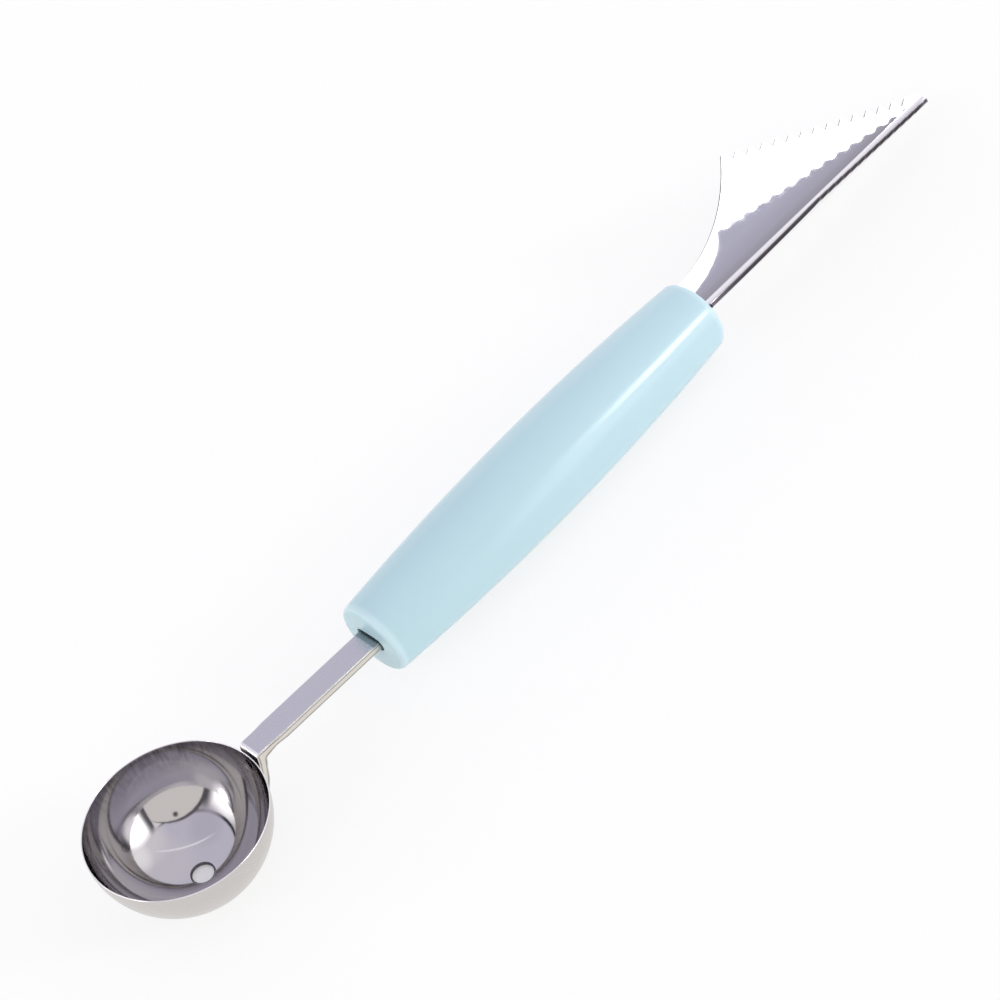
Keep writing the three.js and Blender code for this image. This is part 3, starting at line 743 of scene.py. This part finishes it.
scoop_end = -handle_half
slot_depth = tang_length + slot_gap
stem_height = (scoop_end - scoop_pivot) * -math.tan(scoop_pitch)
slot_y = stem_width / 2 + stem_slot_gap - slot_corner_radius
slot_z = stem_thickness / 2 + stem_slot_gap - slot_corner_radius
slot_start = handle_mesh.verts.new((scoop_end, slot_y, stem_height + slot_z + slot_corner_radius))
pen = slot_start
last_corner = None
for corner_y, corner_z in ((slot_y, slot_z), (slot_y, -slot_z), (-slot_y, -slot_z), (-slot_y, slot_z)):
    corner = Vector((scoop_end, corner_y, stem_height + corner_z))
    if last_corner is not None:
        pen = line_to(handle_mesh, pen, pen.co + corner - last_corner)
    pen = arc_about(handle_mesh, pen, corner, (-1, 0, 0), math.pi / 2, slot_corner_steps)
    last_corner = corner
handle_mesh.edges.new((pen, slot_start))
stem_slot = [edge for edge in handle_mesh.edges if not edge.link_faces]
stem_slot_run = Vector((math.cos(scoop_pitch), 0, -math.sin(scoop_pitch))) * slot_depth
close_end(handle_mesh, scoop_end, stem_slot, stem_slot_run)

blade_end = handle_half
fold_centre = blade_root + Vector((0, 0, fold_radius / math.sin(fold_half)))
wing_run = tang_width - fold_arc + slot_gap
wing_along = Vector((0, math.sin(fold_half), math.cos(fold_half)))
wing_across = Vector((0, math.cos(fold_half), -math.sin(fold_half)))
inner_wall = fold_radius - slot_gap
outer_wall = fold_radius + blade_thickness + slot_gap
inner_tip = fold_centre + wing_across * inner_wall + wing_along * wing_run
outer_tip = fold_centre + wing_across * outer_wall + wing_along * wing_run
other_wing = Vector((1, -1, 1))
inner_start = handle_mesh.verts.new(fold_centre + wing_across * inner_wall)
pen = arc_about(handle_mesh, inner_start, fold_centre, (-1, 0, 0), 2 * fold_turn, slot_fold_steps)
pen = line_to(handle_mesh, pen, inner_tip * other_wing)
pen = line_to(handle_mesh, pen, outer_tip * other_wing)
pen = line_to(handle_mesh, pen, (fold_centre + wing_across * outer_wall) * other_wing)
pen = arc_about(handle_mesh, pen, fold_centre, (1, 0, 0), 2 * fold_turn, slot_fold_steps)
pen = line_to(handle_mesh, pen, outer_tip)
pen = line_to(handle_mesh, pen, inner_tip)
handle_mesh.edges.new((pen, inner_start))
blade_slot = [edge for edge in handle_mesh.edges if not edge.link_faces]
blade_slot_run = Vector((-math.cos(blade_pitch), 0, math.sin(blade_pitch))) * slot_depth
close_end(handle_mesh, blade_end, blade_slot, blade_slot_run)
bmesh.ops.recalc_face_normals(handle_mesh, faces=handle_mesh.faces)

# Polypropylene, injection moulded in a polished tool: a milky aqua with a satin gloss, the faint clouding of
# pigment in the melt and a very shallow orange peel. The colour is painted darker towards the scoop end as
# shade, and paler on the rounded end edges as a highlight.
handle_plastic, tree, place = start_finish("polypropylene_moulded_aqua")
handle_place = millimetres @ tool_at_rest
in_handle = add_node(tree, "ShaderNodeMapping", {
    "Vector": place, "Location": handle_place.translation,
    "Rotation": tool_at_rest.to_3x3().to_euler(), "Scale": in_millimetres}, vector_type="TEXTURE")
cloud_width = 14.0
clouds = add_node(tree, "ShaderNodeTexNoise", {
    "Vector": in_handle, "Scale": 1 / cloud_width, "Detail": 2.0})
along_handle = add_node(tree, "ShaderNodeSeparateXYZ", {"Vector": in_handle})
# Painted shade: the aqua runs darker towards the scoop end; the clouding is real.
light_towards_blade = add_node(tree, "ShaderNodeMapRange", {
    "Value": along_handle.outputs["X"], "From Min": -handle_half, "From Max": handle_half, "To Max": 0.7})
clouds_and_light = add_node(tree, "ShaderNodeMath", {0: clouds, 1: 0.3, 2: light_towards_blade}, operation="MULTIPLY_ADD")
pigment_and_light = add_node(tree, "ShaderNodeMixRGB", {
    "Fac": clouds_and_light, "Color1": linear("#b2d1d8"), "Color2": linear("#bfdde6")})
# Painted highlight: the rounded end edges are mixed towards a paler aqua.
glow_start = 1.6 * handle_edge_radius
glow_full = 0.6 * handle_edge_radius
glow_at_edge = 0.2 * handle_edge_radius
from_middle = add_node(tree, "ShaderNodeMath", {0: along_handle.outputs["X"]}, operation="ABSOLUTE")
at_end = add_node(tree, "ShaderNodeMapRange", {
    "Value": from_middle, "From Min": handle_half - glow_start,
    "From Max": handle_half - glow_full}, interpolation_type="SMOOTHSTEP")
off_axis = add_node(tree, "ShaderNodeVectorMath", {0: in_handle, 1: (0, 1, 1)}, operation="MULTIPLY")
axis_distance = add_node(tree, "ShaderNodeVectorMath", {0: off_axis}, operation="LENGTH")
at_edge = add_node(tree, "ShaderNodeMapRange", {
    "Value": axis_distance.outputs["Value"], "From Min": handle_end_radius - glow_full,
    "From Max": handle_end_radius - glow_at_edge, "To Max": 0.55}, interpolation_type="SMOOTHSTEP")
painted_edge_highlight = add_node(tree, "ShaderNodeMath", {0: at_end, 1: at_edge}, operation="MULTIPLY")
milky_with_edge_highlight = add_node(tree, "ShaderNodeMixRGB", {
    "Fac": painted_edge_highlight, "Color1": pigment_and_light, "Color2": linear("#d4eaf0")})
peel_width = 0.9
peel_depth = 0.006
peel = add_node(tree, "ShaderNodeTexNoise", {"Vector": in_handle, "Scale": 1 / peel_width, "Detail": 2.0})
gloss = add_node(tree, "ShaderNodeMapRange", {
    "Value": peel, "From Min": 0.3, "From Max": 0.7, "To Min": 0.17, "To Max": 0.22})
peel_bump = add_node(tree, "ShaderNodeBump", {
    "Height": peel, "Strength": 1.0, "Distance": peel_depth * millimetre})
plastic = add_node(tree, "ShaderNodeBsdfPrincipled", {
    "Base Color": milky_with_edge_highlight, "Roughness": gloss, "IOR": 1.49, "Normal": peel_bump})
add_node(tree, "ShaderNodeOutputMaterial", {"Surface": plastic})

add_piece("handle_moulded", handle_mesh, tool_at_rest, [handle_plastic], "handle")


# Studio: a white table in a light tent with a pale lavender roof, which has a dark seam round it and a light
# strip across it. One softbox stands low in front and one beside the scoop, and the lens looks in through
# the front wall, at the photograph's angle.
table_half = 2000
table_gap = 0.05

floor_mesh = bmesh.new()
bmesh.ops.create_grid(floor_mesh, x_segments=1, y_segments=1, size=table_half * millimetre)
bmesh.ops.translate(floor_mesh, vec=(0, 0, -table_gap * millimetre), verts=floor_mesh.verts)
floor_skin = bpy.data.meshes.new("studio_table")
floor_mesh.to_mesh(floor_skin)
floor_mesh.free()

# Matt white board: it takes the tool's soft shadow, and shows white to the camera and in the steel.
# Under the bowl it lies in deep shade, which is seen through the vent.
table_board, tree, on_table = start_finish("white_matt_board")
table_path = add_node(tree, "ShaderNodeLightPath", {})
seen = add_node(tree, "ShaderNodeMath", {
    0: table_path.outputs["Is Camera Ray"], 1: table_path.outputs["Is Glossy Ray"]}, operation="MAXIMUM")
any_ray = add_node(tree, "ShaderNodeMath", {
    0: seen, 1: table_path.outputs["Is Transmission Ray"]}, operation="MAXIMUM")
bowl_bottom = scoop_place @ (bowl_centre - Vector((0, 0, bowl_radius)))
from_bowl = add_node(tree, "ShaderNodeVectorMath", {
    0: on_table, 1: bowl_bottom * millimetre}, operation="DISTANCE")
deep_shade = 2.5
shade_end = 6.0
open_light = add_node(tree, "ShaderNodeMapRange", {
    "Value": from_bowl.outputs["Value"], "From Min": deep_shade * millimetre,
    "From Max": shade_end * millimetre, "To Min": 0.22, "To Max": 0.75})
glow_share = add_node(tree, "ShaderNodeMath", {0: any_ray, 1: open_light}, operation="MULTIPLY")
board = add_node(tree, "ShaderNodeBsdfDiffuse", {"Color": linear("#fdfdfd")})
glow = add_node(tree, "ShaderNodeEmission", {"Color": linear("#ffffff"), "Strength": 1.0})
board_mix = add_node(tree, "ShaderNodeMixShader", {"Fac": glow_share, 1: board, 2: glow})
add_node(tree, "ShaderNodeOutputMaterial", {"Surface": board_mix})
floor_skin.materials.append(table_board)
floor = bpy.data.objects.new("studio_table", floor_skin)
bpy.context.scene.collection.objects.link(floor)


def towards(azimuth, elevation):
    """Direction at an azimuth from +X towards +Y and an elevation above the table, in degrees."""
    level = math.cos(math.radians(elevation))
    turn = math.radians(azimuth)
    return Vector((level * math.cos(turn), level * math.sin(turn), math.sin(math.radians(elevation))))


def lit(colour, strength):
    """Gives the light of a colour at a strength."""
    return [part * strength for part in linear(colour)[:3]] + [1]


room = bpy.data.worlds.new("pale_studio")
bpy.context.scene.world = room
room.use_nodes = True
tree = room.node_tree
tree.nodes.clear()
look = add_node(tree, "ShaderNodeTexCoord", {})

# Each zone is a colour, a strength and the discs that bound it, and covers the zones before it.
# A disc has an azimuth, an elevation, the angle where it has faded out and the one up to which it is full,
# all in degrees. A zone with more than one disc is what they share, and a disc of about 90 is a straight cut.
zones = [
    ("#ffffff", 1.3, [(0, 15, 75, 25)]),  # soft glow beyond the blade
    ("#d3d1d3", 1.0, [(176, 22, 62, 36)]),  # edge of the softbox beside the scoop
    ("#ffffff", 2.2, [(168, 13, 39, 11)]),  # its core
    ("#ffffff", 6.0, [(-178, 18, 9, 4)]),  # first of two small lamps in it
    ("#ffffff", 4.0, [(142, 22, 8, 4)]),  # second small lamp
    ("#3c3a40", 1.0, [(44, 77, 54.6, 52.4)]),  # seam round the roof
    ("#e2e0ee", 1.0, [(40, 75, 53, 50.5)]),  # roof
    ("#e8e6ef", 1.0, [(-8, 50, 40, 24)]),  # its paler part beyond the blade
    ("#d8d5e3", 1.0, [(180, 66, 28, 4)]),  # its darker part above the scoop
    ("#f8f6fa", 1.0, [(-46, 30, 38, 12)]),  # pale wall on the right
    ("#ffffff", 1.2, [(-22, 22, 24, 2)]),  # its brightest part
    ("#ffffff", 1.6, [(59, -0.8, 91.4, 89.6), (-121, 0.8, 91.4, 89.6), (-25, 82, 40, 2)]),  # strip
    ("#5a575c", 1.0, [(-121, 13, 55, 43), (172, 8, 52, 34)]),  # shade beside the front wall
    ("#605d62", 1.0, [(-118.5, 13, 46.2, 44)]),  # seam of the front wall
    ("#fefaf5", 0.92, [(-116, 10, 45.5, 44)]),  # front wall
    ("#5a5254", 1.0, [(-109, 48, 4.2, 1)]),  # lens in it
    ("#ffffff", 2.6, [(-58, 9, 33, 18), (9.9, -18.6, 93, 84)]),  # softbox low in front, right of the lens
    ("#66636a", 1.0, [(-58, 9, 36, 29), (3.9, -18.6, 91, 89.5), (-170.1, 18.6, 98, 87)]),  # its frame
    ("#ffffff", 18.0, [(-53, 25, 7, 3)]),  # its hot core
]
room_light = lit("#fffdfa", 1.05)
for colour, strength, discs in zones:
    share = None
    for azimuth, elevation, outer, inner in discs:
        facing = add_node(tree, "ShaderNodeVectorMath", {
            0: look.outputs["Generated"], 1: towards(azimuth, elevation)}, operation="DOT_PRODUCT")
        disc = add_node(tree, "ShaderNodeMapRange", {
            "Value": facing.outputs["Value"], "From Min": math.cos(math.radians(outer)),
            "From Max": math.cos(math.radians(inner))}, interpolation_type="SMOOTHSTEP")
        if share:
            share = add_node(tree, "ShaderNodeMath", {0: share, 1: disc}, operation="MULTIPLY")
        else:
            share = disc
    room_light = add_node(tree, "ShaderNodeMixRGB", {
        "Fac": share, "Color1": room_light, "Color2": lit(colour, strength)})
path = add_node(tree, "ShaderNodeLightPath", {})
shown = add_node(tree, "ShaderNodeMixRGB", {
    "Fac": path.outputs["Is Camera Ray"], "Color1": room_light, "Color2": linear("#ffffff")})
air = add_node(tree, "ShaderNodeBackground", {"Color": shown, "Strength": 1.0})
add_node(tree, "ShaderNodeOutputWorld", {"Surface": air})

lens = bpy.data.cameras.new("studio_camera")
lens.sensor_width = 36.0
lens.lens = 96.79
camera = bpy.data.objects.new("studio_camera", lens)
camera_right = Vector((0.6617, -0.7044, -0.2569)).normalized()
camera_forward = Vector((0.3404, 0.5875, -0.7341))
camera_up = camera_right.cross(camera_forward).normalized()
camera_turn = Matrix((camera_right, camera_up, camera_right.cross(camera_up))).transposed().to_4x4()
camera_spot = (-167.3, -272.6, 342.8)
camera_place = tool_at_rest @ Matrix.Translation(camera_spot) @ camera_turn
camera.location = camera_place.translation * millimetre
camera.rotation_mode = "QUATERNION"
camera.rotation_quaternion = camera_place.to_quaternion()
bpy.context.scene.collection.objects.link(camera)
bpy.context.scene.camera = camera
bpy.context.scene.view_settings.view_transform = "Standard"
